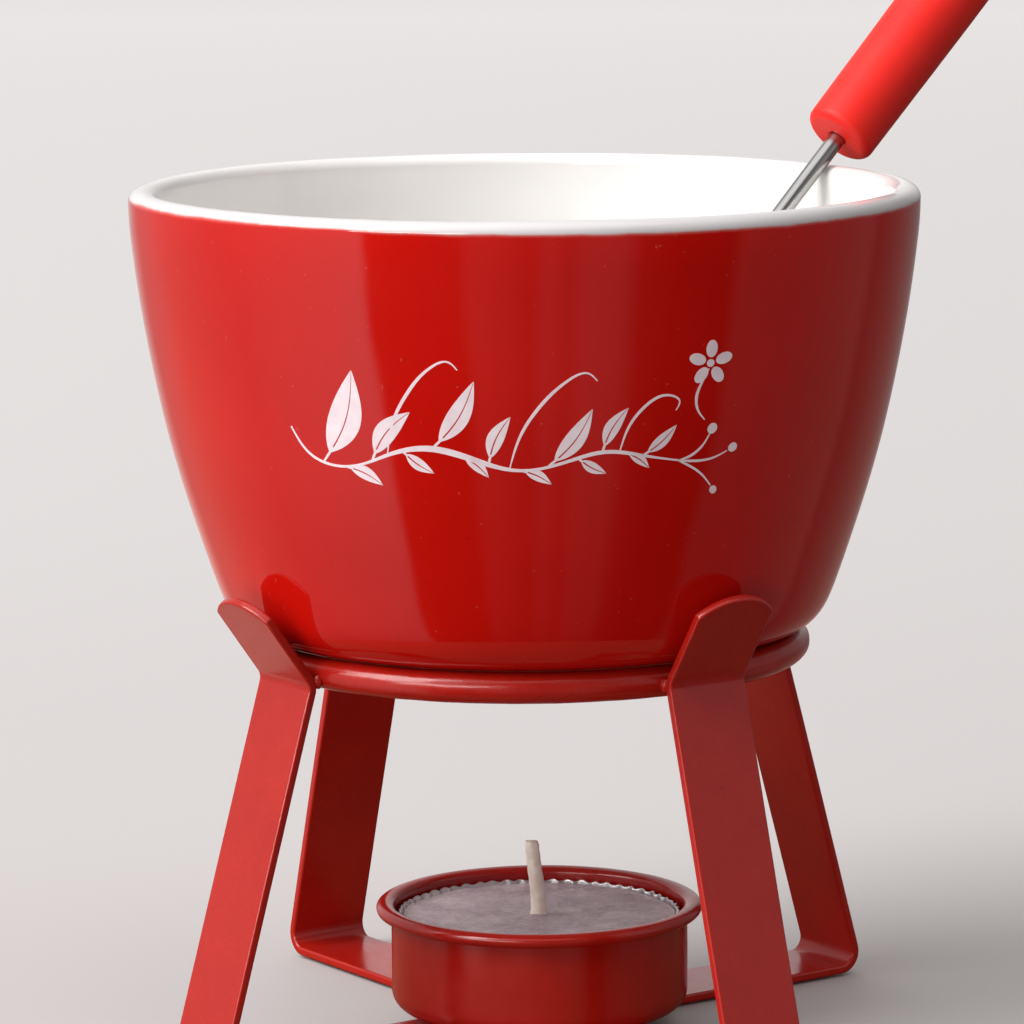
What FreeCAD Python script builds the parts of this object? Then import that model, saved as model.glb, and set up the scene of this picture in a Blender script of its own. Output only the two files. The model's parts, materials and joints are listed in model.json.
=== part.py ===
import FreeCAD, Part
import math
import os

V = FreeCAD.Vector

# ---------------------------------------------------------------------------
# Small tabletop fondue set: glazed bowl on a bent-strip stand over a tealight,
# with one long fork standing in the bowl.  Millimetres, +Z up, origin on the
# floor on the bowl's axis.  Azimuths run from -Y towards +X.
# ---------------------------------------------------------------------------

# bowl
RIM_OUTER_R = 52.6          # outside of the rounded lip
LIP_R = 1.85                # half the thickness of the lip
RIM_TOP_Z = 114.4
BOWL_FLOOR_Z = 58.85        # inside floor
FOOT_RECESS_Z = 53.7        # underside inside the foot ring
FOOT_BOTTOM_Z = 52.2
OUTER_PROFILE = [           # (radius, height) down the outside
    (52.6, 112.55), (52.57, 111.3), (52.5, 109.7), (52.22, 106.7), (51.15, 98.6), (49.75, 90.6), (48.02, 82.5),
    (45.85, 74.4), (43.25, 66.2), (41.3, 60.6), (40.05, 57.9), (38.4, 56.05),
    (36.2, 55.0), (33.2, 54.5)]
INNER_PROFILE = [           # (radius, height) down the inside
    (48.9, 112.55), (48.87, 111.3), (48.77, 109.6), (48.45, 106.7), (47.35, 98.6), (45.95, 90.6), (44.2, 82.5),
    (42.0, 74.4), (39.8, 68.0), (37.2, 63.7), (33.6, 60.75), (29.0, 59.28), (25.2, 58.9), (23.0, BOWL_FLOOR_Z)]

# stand: two U-shaped strips crossed under the cup, and a round-wire ring
STRIP_W = 12.0
STRIP_T = 1.2
LOWER_BEND_R = 39.35        # outer face at the bend beside the ring
UPPER_BEND_R = 39.05
LOWER_FOOT_R = 53.6         # outer face, extended down to the floor
UPPER_FOOT_R = 54.4         # the upper strip is sprung a little wider
LOWER_BEND_Z = 52.9
UPPER_BEND_Z = 51.6
LOWER_FLARE_DEG = 33.5      # tabs, from vertical, outwards
UPPER_FLARE_DEG = 36.5
TAB_LENGTH = 14.1           # bend to the crown of the rounded end
TAB_END_R = 8.2
FOOT_BEND_R = 3.0           # outer radius where a leg turns in along the floor
TOP_BEND_R = 2.2
JOGGLE_IN = 7.8             # the upper strip steps over the lower one
JOGGLE_OUT = 10.6
LOWER_STRIP_AZ = 35.0
LOWER_STRIP_SIDE = 0.75     # the lower strip runs this far to the side of the axis
UPPER_STRIP_AZ = -54.0
RING_R = 36.0               # wire centre
RING_WIRE_R = 2.05
RING_Z = 52.75
WELD_R = 1.15

# candle cup
CUP_X, CUP_Y = 1.4, -1.0    # it is spot-welded slightly off the stand's axis
CUP_WALL_R = 20.1           # outside of the wall
CUP_T = 0.5
CUP_CURL_R = 1.05
CUP_CURL_Z = 16.15
CUP_BOTTOM_Z = 2 * STRIP_T
CUP_CORNER_R = 2.6

# tealight
TEALIGHT_R = 18.9
TEALIGHT_FOOT_R = 18.2
TEALIGHT_T = 0.25
TEALIGHT_TOP_Z = 15.5
WAX_TOP_Z = 14.7
WICK_R = 0.95
WICK_TOP_Z = 25.2
WICK_BEND_Z = 15.6
WICK_LEAN_DEG = 6.0
TAB_DISC_R = 6.0
TAB_DISC_T = 0.3
TAB_NECK_R = 1.45
TAB_NECK_H = 3.2

# fork
FORK_LIP_AZ = math.radians(32.6)            # where the rod crosses the lip, from +X towards +Y
FORK_DIR = V(0.577, 0.423, 0.699)           # along the rod, upwards
ROD_R = 1.2
ROD_LIP_CLEARANCE = 0.10
ROD_BELOW_LIP = 79.2                        # lip contact to the prong tips
HANDLE_START = 4.2                          # lip contact to the handle's lower end
HANDLE_L = 80.0
HANDLE_R_LOW = 5.1
HANDLE_R_HIGH = 5.8
HANDLE_EDGE_R = 0.9
HANDLE_DOME = 2.6
ROD_IN_HANDLE = 32.0
HEAD_L = 21.0                               # flattened fork head, neck to tips
HEAD_W = 7.6
HEAD_T = 1.1
PRONG_L = 13.0
PRONG_W = 1.9
PRONG_TIP_L = 3.2

os.makedirs("parts", exist_ok=True)


def out(shape, name):
    shape = shape.removeSplitter() if len(shape.Solids) == 1 else shape
    if not shape.isValid():
        print("NOT VALID", name)
    for s in shape.Solids:
        if not s.isClosed():
            print("NOT CLOSED", name)
    shape.exportStep("parts/%s.step" % name)
    b = shape.BoundBox
    print("%-18s solids %d  vol %9.1f  x %.2f..%.2f y %.2f..%.2f z %.2f..%.2f" % (
        name, len(shape.Solids), shape.Volume, b.XMin, b.XMax, b.YMin, b.YMax, b.ZMin, b.ZMax))
    return shape


def spline(points):
    c = Part.BSplineCurve()
    c.interpolate([V(r, 0, z) for r, z in points])
    return c.toShape()


def line(a, b):
    return Part.LineSegment(V(a[0], 0, a[1]), V(b[0], 0, b[1])).toShape()


def arc(a, m, b):
    return Part.Arc(V(a[0], 0, a[1]), V(m[0], 0, m[1]), V(b[0], 0, b[1])).toShape()


def lathe(edges, at=V(0, 0, 0)):
    face = Part.Face(Part.Wire(Part.__sortEdges__(edges)))
    solid = face.revolve(V(0, 0, 0), V(0, 0, 1), 360)
    solid = Part.Solid(solid.Shells[0]) if not solid.Solids else solid.Solids[0]
    if solid.Volume < 0:
        solid.reverse()
    solid.translate(at)
    return solid


# ---------------------------------------------------------------------------
# bowl
# ---------------------------------------------------------------------------
lip_c = RIM_OUTER_R - LIP_R
lip_z = RIM_TOP_Z - LIP_R
bowl_edges = [
    spline(OUTER_PROFILE),
    arc((33.2, 54.5), (32.75, 54.3), (32.5, 53.8)),
    line((32.5, 53.8), (32.0, 52.75)),
    arc((32.0, 52.75), (31.7, 52.35), (31.2, FOOT_BOTTOM_Z)),
    line((31.2, FOOT_BOTTOM_Z), (29.6, FOOT_BOTTOM_Z)),
    arc((29.6, FOOT_BOTTOM_Z), (29.1, 52.4), (28.85, 52.85)),
    line((28.85, 52.85), (28.3, FOOT_RECESS_Z)),
    line((28.3, FOOT_RECESS_Z), (0, FOOT_RECESS_Z)),
    line((0, FOOT_RECESS_Z), (0, BOWL_FLOOR_Z)),
    line((0, BOWL_FLOOR_Z), (23.0, BOWL_FLOOR_Z)),
    spline(list(reversed(INNER_PROFILE))),
    arc((48.9, 112.55), (lip_c, RIM_TOP_Z), (52.6, 112.55)),
]
bowl = out(lathe(bowl_edges), "bowl")

# ---------------------------------------------------------------------------
# stand
# ---------------------------------------------------------------------------
ring = Part.makeTorus(RING_R, RING_WIRE_R, V(0, 0, RING_Z), V(0, 0, 1))
ring = out(ring, "support_ring")


def offset_path(points, radii, side):
    """Line-and-arc path through the centreline points, moved sideways by side."""
    n = len(points)
    dirs = []
    for i in range(n - 1):
        dx, dz = points[i + 1][0] - points[i][0], points[i + 1][1] - points[i][1]
        l = math.hypot(dx, dz)
        dirs.append((dx / l, dz / l))
    edges = []
    nrm = lambda d: (-d[1], d[0])
    cur = (points[0][0] + nrm(dirs[0])[0] * side, points[0][1] + nrm(dirs[0])[1] * side)
    start = cur
    for i in range(1, n - 1):
        d0, d1 = dirs[i - 1], dirs[i]
        cross = d0[0] * d1[1] - d0[1] * d1[0]
        dot = d0[0] * d1[0] + d0[1] * d1[1]
        turn = math.atan2(cross, dot)
        rad = radii[i]
        t = rad * math.tan(abs(turn) / 2)
        p = points[i]
        s = 1 if turn > 0 else -1
        a = (p[0] - d0[0] * t, p[1] - d0[1] * t)
        c = (a[0] + nrm(d0)[0] * rad * s, a[1] + nrm(d0)[1] * rad * s)
        r2 = rad - s * side
        u0 = (-nrm(d0)[0] * s, -nrm(d0)[1] * s)
        u1 = (-nrm(d1)[0] * s, -nrm(d1)[1] * s)
        um = (u0[0] + u1[0], u0[1] + u1[1])
        l = math.hypot(*um)
        um = (um[0] / l, um[1] / l)
        pa = (c[0] + u0[0] * r2, c[1] + u0[1] * r2)
        pm = (c[0] + um[0] * r2, c[1] + um[1] * r2)
        pb = (c[0] + u1[0] * r2, c[1] + u1[1] * r2)
        edges.append(line(cur, pa))
        edges.append(arc(pa, pm, pb))
        cur = pb
    end = (points[-1][0] + nrm(dirs[-1])[0] * side, points[-1][1] + nrm(dirs[-1])[1] * side)
    edges.append(line(cur, end))
    return edges, start, end


def strip_centreline(joggled, foot_r, bend_r, bend_z, flare):
    """Centreline of half a strip from the tab's end to the middle, then mirrored."""
    h = STRIP_T / 2
    leg = math.atan2(foot_r - bend_r, bend_z)
    fl = math.radians(flare)
    # centreline corners: outer face moved in by half the thickness
    bend = (bend_r - h / math.cos(leg), bend_z)
    tab_end = (bend[0] + TAB_LENGTH * math.sin(fl), bend[1] + TAB_LENGTH * math.cos(fl))
    foot_x = foot_r - h / math.cos(leg) - h * math.tan(leg)
    foot = (foot_x, h)
    half = [tab_end, bend, foot]
    rad = [0, TOP_BEND_R, FOOT_BEND_R - h]
    if joggled:
        half += [(JOGGLE_OUT, h), (JOGGLE_IN, h + STRIP_T)]
        rad += [1.4, 1.4]
    pts = half + [(-x, z) for x, z in reversed(half)]
    radii = rad + list(reversed(rad))
    return pts, radii


def make_strip(joggled, foot_r, bend_r, bend_z, flare, az, side):
    pts, radii = strip_centreline(joggled, foot_r, bend_r, bend_z, flare)
    a, sa, ea = offset_path(pts, radii, STRIP_T / 2)
    b, sb, eb = offset_path(pts, radii, -STRIP_T / 2)
    edges = a + b + [line(sa, sb), line(ea, eb)]
    face = Part.Face(Part.Wire(Part.__sortEdges__(edges)))
    face.translate(V(0, -STRIP_W / 2, 0))
    strip = face.extrude(V(0, STRIP_W, 0))
    # rounded ends of the tabs
    fl = math.radians(flare)
    for sgn in (1, -1):
        bend = V(pts[1][0] * sgn, 0, pts[1][1])
        u = V(math.sin(fl) * sgn, 0, math.cos(fl))
        n = V(math.cos(fl) * sgn, 0, -math.sin(fl))
        centre = bend + u * (TAB_LENGTH - TAB_END_R)
        side_len = TAB_LENGTH - TAB_END_R + math.sqrt(TAB_END_R ** 2 - (STRIP_W / 2) ** 2)
        box = Part.makeBox(8, 24, 12)
        box.translate(V(-4, -12, 0))
        # the box's X goes to n, its Z to u
        m = FreeCAD.Matrix(n.x, 0, u.x, 0, 0, 1, 0, 0, n.z, 0, u.z, 0, 0, 0, 0, 1)
        if sgn < 0:
            m = FreeCAD.Matrix(n.x, 0, u.x, 0, 0, -1, 0, 0, n.z, 0, u.z, 0, 0, 0, 0, 1)
        box.Placement = FreeCAD.Placement(m)
        box.translate(bend + u * side_len)
        cyl = Part.makeCylinder(TAB_END_R, 12, centre - n * 6, n)
        strip = strip.cut(box.cut(cyl))
    strip.translate(V(0, side, 0))
    strip.rotate(V(0, 0, 0), V(0, 0, 1), az - 90)
    return strip


lower = out(make_strip(False, LOWER_FOOT_R, LOWER_BEND_R, LOWER_BEND_Z, LOWER_FLARE_DEG, LOWER_STRIP_AZ, LOWER_STRIP_SIDE), "leg_strip_lower")
upper = out(make_strip(True, UPPER_FOOT_R, UPPER_BEND_R, UPPER_BEND_Z, UPPER_FLARE_DEG, UPPER_STRIP_AZ, 0), "leg_strip_upper")

# weld beads where the ring meets both edges of each leg
beads = []
for az, side, drop in ((LOWER_STRIP_AZ, LOWER_STRIP_SIDE, 0.2), (UPPER_STRIP_AZ, 0, 0.7)):
    for end in (1, -1):
        for sgn in (1, -1):
            y = side + sgn * (STRIP_W / 2 - 0.1)
            x = math.sqrt((RING_R + RING_WIRE_R * 0.93) ** 2 - y ** 2) + 0.15
            s = Part.makeSphere(WELD_R, V(end * x, y, RING_Z - drop))
            s.rotate(V(0, 0, 0), V(0, 0, 1), az - 90)
            beads.append(s)
welds = out(Part.makeCompound(beads), "ring_welds")

# ---------------------------------------------------------------------------
# candle cup: drawn sheet with an outward curl at the rim
# ---------------------------------------------------------------------------
wi = CUP_WALL_R - CUP_T
wo = CUP_WALL_R
cc = wi + CUP_CURL_R
r_o, r_i = CUP_CURL_R, CUP_CURL_R - CUP_T
end_a = math.radians(-128)
q = math.cos(math.radians(45))
ro, ri = CUP_CORNER_R, CUP_CORNER_R - CUP_T
zb = CUP_BOTTOM_Z
curl_mid = math.radians((180 - 128) / 2)
cup_edges = [
    line((0, zb), (wo - ro, zb)),
    arc((wo - ro, zb), (wo - ro + ro * q, zb + ro - ro * q), (wo, zb + ro)),
    line((wo, zb + ro), (wo, CUP_CURL_Z)),
    arc((wo, CUP_CURL_Z), (cc + r_i * math.cos(curl_mid), CUP_CURL_Z + r_i * math.sin(curl_mid)),
        (cc + r_i * math.cos(end_a), CUP_CURL_Z + r_i * math.sin(end_a))),
    line((cc + r_i * math.cos(end_a), CUP_CURL_Z + r_i * math.sin(end_a)),
         (cc + r_o * math.cos(end_a), CUP_CURL_Z + r_o * math.sin(end_a))),
    arc((cc + r_o * math.cos(end_a), CUP_CURL_Z + r_o * math.sin(end_a)),
        (cc + r_o * math.cos(curl_mid), CUP_CURL_Z + r_o * math.sin(curl_mid)), (wi, CUP_CURL_Z)),
    line((wi, CUP_CURL_Z), (wi, zb + CUP_T + ri)),
    arc((wi, zb + CUP_T + ri), (wi - ri + ri * q, zb + CUP_T + ri - ri * q), (wi - ri, zb + CUP_T)),
    line((wi - ri, zb + CUP_T), (0, zb + CUP_T)),
    line((0, zb + CUP_T), (0, zb)),
]
cup = out(lathe(cup_edges, V(CUP_X, CUP_Y, 0)), "candle_cup")

# ---------------------------------------------------------------------------
# tealight
# ---------------------------------------------------------------------------
z0 = CUP_BOTTOM_Z + CUP_T
r, f, t = TEALIGHT_R, TEALIGHT_FOOT_R, TEALIGHT_T
slope = (r - f) / (TEALIGHT_TOP_Z - z0)
shell_edges = [
    line((0, z0), (f - 0.9, z0)),
    arc((f - 0.9, z0), (f - 0.9 + 0.9 * q, z0 + 0.9 - 0.9 * q), (f, z0 + 0.9)),
    line((f, z0 + 0.9), (r, TEALIGHT_TOP_Z)),
    line((r, TEALIGHT_TOP_Z), (r - t, TEALIGHT_TOP_Z)),
    line((r - t, TEALIGHT_TOP_Z), (f - t, z0 + 0.9)),
    arc((f - t, z0 + 0.9), (f - t - 0.16, z0 + 0.45), (f - t - 0.6, z0 + t)),
    line((f - t - 0.6, z0 + t), (0, z0 + t)),
    line((0, z0 + t), (0, z0)),
]
shell = out(lathe(shell_edges, V(CUP_X, CUP_Y, 0)), "tealight_shell")

zt = z0 + t
disc = Part.makeCylinder(TAB_DISC_R, TAB_DISC_T, V(CUP_X, CUP_Y, zt))
neck = Part.makeCylinder(TAB_NECK_R, TAB_NECK_H, V(CUP_X, CUP_Y, zt))
bore = Part.makeCylinder(WICK_R, TAB_NECK_H + 1, V(CUP_X, CUP_Y, zt + TAB_DISC_T))
tab = out(disc.fuse(neck).cut(bore), "wick_tab")

lean = math.radians(WICK_LEAN_DEG)
wd = V(-math.sin(lean), 0.02, math.cos(lean))
wd.normalize()
wick_base = V(CUP_X, CUP_Y, zt + TAB_DISC_T)
knee = V(CUP_X, CUP_Y, WICK_BEND_Z)
wick = Part.makeCylinder(WICK_R, knee.z - wick_base.z, wick_base)
wick = wick.fuse(Part.makeSphere(WICK_R, knee))
wick_len = (WICK_TOP_Z - WICK_R * math.sin(lean) - knee.z) / wd.z
wick = wick.fuse(Part.makeCylinder(WICK_R, wick_len, knee, wd))
wick = out(wick, "wick")

wax_edges = [
    line((0, zt), (f - t - 0.6, zt)),
    arc((f - t - 0.6, zt), (f - t - 0.16, z0 + 0.45), (f - t, z0 + 0.9)),
    line((f - t, z0 + 0.9), (f - t + (r - f) * (WAX_TOP_Z - z0 - 0.9) / (TEALIGHT_TOP_Z - z0 - 0.9), WAX_TOP_Z)),
    line((f - t + (r - f) * (WAX_TOP_Z - z0 - 0.9) / (TEALIGHT_TOP_Z - z0 - 0.9), WAX_TOP_Z), (0, WAX_TOP_Z)),
    line((0, WAX_TOP_Z), (0, zt)),
]
wax = lathe(wax_edges, V(CUP_X, CUP_Y, 0)).cut(disc).cut(neck)
wax = wax.cut(Part.makeCylinder(WICK_R, 30, wick_base))
wax = out(wax, "tealight_wax")

# ---------------------------------------------------------------------------
# fork: built along +Z, head in the X-Z plane, then laid over the lip
# ---------------------------------------------------------------------------
d = V(FORK_DIR)
d.normalize()
rh = V(math.cos(FORK_LIP_AZ), math.sin(FORK_LIP_AZ), 0)
dr = d.dot(rh)
nrm = rh * (-d.z) + V(0, 0, 1) * dr
nrm.normalize()
contact = rh * lip_c + V(0, 0, lip_z) + nrm * (LIP_R + ROD_R + ROD_LIP_CLEARANCE)
side = nrm.cross(d)
side.normalize()

tip = -ROD_BELOW_LIP
neck_z = tip + HEAD_L
rod_top = HANDLE_START + ROD_IN_HANDLE
rod = Part.makeCylinder(ROD_R, rod_top - (neck_z - 1.0), V(0, 0, neck_z - 1.0))
# the head: a flattened blade that widens from the neck, slotted into three prongs
w2 = HEAD_W / 2
p = [(-ROD_R * 0.95, neck_z + 2.0), (-ROD_R * 0.95, neck_z - 1.5), (-w2, neck_z - 6.2), (-w2, tip + PRONG_TIP_L),
     (-w2 + PRONG_W * 0.5, tip), (w2 - PRONG_W * 0.5, tip), (w2, tip + PRONG_TIP_L), (w2, neck_z - 6.2),
     (ROD_R * 0.95, neck_z - 1.5), (ROD_R * 0.95, neck_z + 2.0)]
poly = Part.makePolygon([V(x, -HEAD_T / 2, z) for x, z in p + [p[0]]])
head = Part.Face(poly).extrude(V(0, HEAD_T, 0))
slot_w = (HEAD_W - 3 * PRONG_W) / 2
for sgn in (1, -1):
    cx = sgn * (PRONG_W / 2 + slot_w / 2)
    cut = Part.makeBox(slot_w, 4, PRONG_L, V(cx - slot_w / 2, -2, tip - 1))
    cut = cut.fuse(Part.makeCylinder(slot_w / 2, 4, V(cx, -2, tip - 1 + PRONG_L), V(0, 1, 0)))
    head = head.cut(cut)
    # pointed tips: take the inner corners off the outer prongs and both off the middle one
    for x0, x1 in ((sgn * (w2 - PRONG_W), sgn * (w2 - PRONG_W * 0.5)), (sgn * PRONG_W / 2, 0)):
        tri = Part.makePolygon([V(x0, -2, tip + PRONG_TIP_L), V(x0, -2, tip - 0.5), V(x1, -2, tip - 0.5),
                                V(x1, -2, tip), V(x0, -2, tip + PRONG_TIP_L)])
        head = head.cut(Part.Face(tri).extrude(V(0, 4, 0)))
shaft = rod.fuse(head)

h0, h1 = HANDLE_START, HANDLE_START + HANDLE_L
e = HANDLE_EDGE_R
hand_edges = [
    line((0, h0), (HANDLE_R_LOW - e, h0)),
    arc((HANDLE_R_LOW - e, h0), (HANDLE_R_LOW - e * 0.3, h0 + e * 0.3), (HANDLE_R_LOW, h0 + e)),
    line((HANDLE_R_LOW, h0 + e), (HANDLE_R_HIGH, h1 - HANDLE_DOME)),
    arc((HANDLE_R_HIGH, h1 - HANDLE_DOME), (HANDLE_R_HIGH - HANDLE_DOME * (1 - q), h1 - HANDLE_DOME * (1 - q)),
        (HANDLE_R_HIGH - HANDLE_DOME, h1)),
    line((HANDLE_R_HIGH - HANDLE_DOME, h1), (0, h1)),
    line((0, h1), (0, h0)),
]
handle = lathe(hand_edges)
handle = handle.cut(Part.makeCylinder(ROD_R, ROD_IN_HANDLE + 1, V(0, 0, h0 - 1)))

m = FreeCAD.Matrix(side.x, nrm.x, d.x, contact.x,
                   side.y, nrm.y, d.y, contact.y,
                   side.z, nrm.z, d.z, contact.z,
                   0, 0, 0, 1)
if m.determinant() < 0:
    m = FreeCAD.Matrix(-side.x, nrm.x, d.x, contact.x,
                       -side.y, nrm.y, d.y, contact.y,
                       -side.z, nrm.z, d.z, contact.z,
                       0, 0, 0, 1)
shaft.Placement = FreeCAD.Placement(m)
handle.Placement = FreeCAD.Placement(m)
shaft = out(shaft, "fork_shaft")
handle = out(handle, "fork_handle")

print("fork direction", d, "contact", contact, "side", side, "normal", nrm)
print("gap fork/bowl %.3f" % shaft.distToShape(bowl)[0], " handle/bowl %.3f" % handle.distToShape(bowl)[0])
print("gap bowl/ring %.3f" % bowl.distToShape(ring)[0], " bowl/upper %.3f" % bowl.distToShape(upper)[0],
      " ring/upper %.3f" % ring.distToShape(upper)[0], " ring/lower %.3f" % ring.distToShape(lower)[0])
print("gap cup/shell %.3f" % cup.distToShape(shell)[0], "overlap lower/upper %.5f" % lower.common(upper).Volume,
      "overlap upper/cup %.5f" % upper.common(cup).Volume, "overlap ring/lower %.5f" % ring.common(lower).Volume)
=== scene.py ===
import json
import math

import bpy
import bmesh
import numpy as np
from mathutils import Matrix, Vector, noise


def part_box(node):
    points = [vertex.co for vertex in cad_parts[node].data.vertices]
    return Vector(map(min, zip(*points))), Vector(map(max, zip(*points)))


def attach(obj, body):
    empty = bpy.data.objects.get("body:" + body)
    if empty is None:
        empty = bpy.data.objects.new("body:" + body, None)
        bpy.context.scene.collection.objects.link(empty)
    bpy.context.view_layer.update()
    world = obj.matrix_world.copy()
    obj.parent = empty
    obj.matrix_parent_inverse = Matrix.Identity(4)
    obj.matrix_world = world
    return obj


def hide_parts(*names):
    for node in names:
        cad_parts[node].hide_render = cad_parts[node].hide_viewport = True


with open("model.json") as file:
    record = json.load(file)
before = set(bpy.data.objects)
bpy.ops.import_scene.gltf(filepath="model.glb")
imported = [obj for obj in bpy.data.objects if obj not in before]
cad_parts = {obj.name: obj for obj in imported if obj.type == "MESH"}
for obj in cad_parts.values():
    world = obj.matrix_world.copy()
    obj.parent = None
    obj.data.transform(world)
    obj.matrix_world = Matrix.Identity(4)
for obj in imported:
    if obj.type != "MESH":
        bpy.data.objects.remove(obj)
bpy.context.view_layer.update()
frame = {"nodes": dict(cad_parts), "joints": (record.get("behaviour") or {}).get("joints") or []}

MM = 0.001
TAU = 2 * math.pi
scene = bpy.context.scene
scene.view_settings.view_transform = "Standard"


# ---------------------------------------------------------------------------
# small helpers
# ---------------------------------------------------------------------------
def srgb(r, g, b):
    return tuple(((c / 255 + 0.055) / 1.055) ** 2.4 if c > 10 else c / 255 / 12.92 for c in (r, g, b)) + (1.0,)


def spline(points, n):
    """n points on the natural cubic spline through the given ones, chord-length parameter."""
    p = np.array(points, float)
    t = np.concatenate([[0], np.cumsum(np.linalg.norm(np.diff(p, axis=0), axis=1))])
    k = len(p)
    h = np.diff(t)
    A = np.zeros((k, k))
    B = np.zeros((k, p.shape[1]))
    A[0, 0] = A[-1, -1] = 1
    for i in range(1, k - 1):
        A[i, i - 1], A[i, i], A[i, i + 1] = h[i - 1], 2 * (h[i - 1] + h[i]), h[i]
        B[i] = 6 * ((p[i + 1] - p[i]) / h[i] - (p[i] - p[i - 1]) / h[i - 1])
    m = np.linalg.solve(A, B)
    s = np.linspace(0, t[-1], n)
    j = np.clip(np.searchsorted(t, s) - 1, 0, k - 2)
    hj = h[j][:, None]
    a = (t[j + 1] - s)[:, None] / hj
    b = (s - t[j])[:, None] / hj
    return a * p[j] + b * p[j + 1] + ((a ** 3 - a) * m[j] + (b ** 3 - b) * m[j + 1]) * hj ** 2 / 6


def arc_pts(c, r, a0, a1, n):
    a = np.radians(np.linspace(a0, a1, n))
    return [(c[0] + r * math.cos(x), c[1] + r * math.sin(x)) for x in a]


def seg(a, b, n):
    return [(a[0] + (b[0] - a[0]) * i / n, a[1] + (b[1] - a[1]) * i / n) for i in range(n + 1)]


def join_profile(*parts):
    out = []
    for part in parts:
        for q in part:
            if not out or math.hypot(q[0] - out[-1][0], q[1] - out[-1][1]) > 1e-4:
                out.append((float(q[0]), float(q[1])))
    return out


def new_object(name, verts, faces, mats, face_mats=None, smooth=True):
    me = bpy.data.meshes.new(name)
    me.from_pydata([tuple(v) for v in verts], [], faces)
    for m in mats:
        me.materials.append(m)
    if face_mats is not None:
        me.polygons.foreach_set("material_index", face_mats)
    me.polygons.foreach_set("use_smooth", [smooth] * len(me.polygons))
    me.update()
    bm = bmesh.new()
    bm.from_mesh(me)
    bmesh.ops.recalc_face_normals(bm, faces=bm.faces)
    bm.to_mesh(me)
    bm.free()
    o = bpy.data.objects.new(name, me)
    scene.collection.objects.link(o)
    return o


def lathe(name, profile, mats, seg_n=256, closed=False, mod=None, mat_of=None, at=(0, 0)):
    """Turns an (r, z) profile in mm about +Z. Ends with r = 0 become poles; closed wraps round."""
    verts, faces, fm, rings = [], [], [], []
    for i, (r, z) in enumerate(profile):
        if r < 1e-6:
            rings.append([len(verts)])
            zz = mod(0, z, 0, i)[1] if mod else z
            verts.append((at[0] * MM, at[1] * MM, zz * MM))
            continue
        ring = []
        for k in range(seg_n):
            a = TAU * k / seg_n
            rr, zz = mod(r, z, a, i) if mod else (r, z)
            ring.append(len(verts))
            verts.append(((at[0] + rr * math.sin(a)) * MM, (at[1] - rr * math.cos(a)) * MM, zz * MM))
        rings.append(ring)
    n = len(rings)
    for i in range(n if closed else n - 1):
        A, B = rings[i], rings[(i + 1) % n]
        m = mat_of(i) if mat_of else 0
        for k in range(seg_n):
            k2 = (k + 1) % seg_n
            if len(A) == 1:
                f = (A[0], B[k], B[k2])
            elif len(B) == 1:
                f = (A[k], A[k2], B[0])
            else:
                f = (A[k], A[k2], B[k2], B[k])
            faces.append(f)
            fm.append(m)
    return new_object(name, verts, faces, mats, fm)


def fbm(p, octaves=3):
    return noise.fractal(Vector(p), 1.0, 2.0, octaves)


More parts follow.
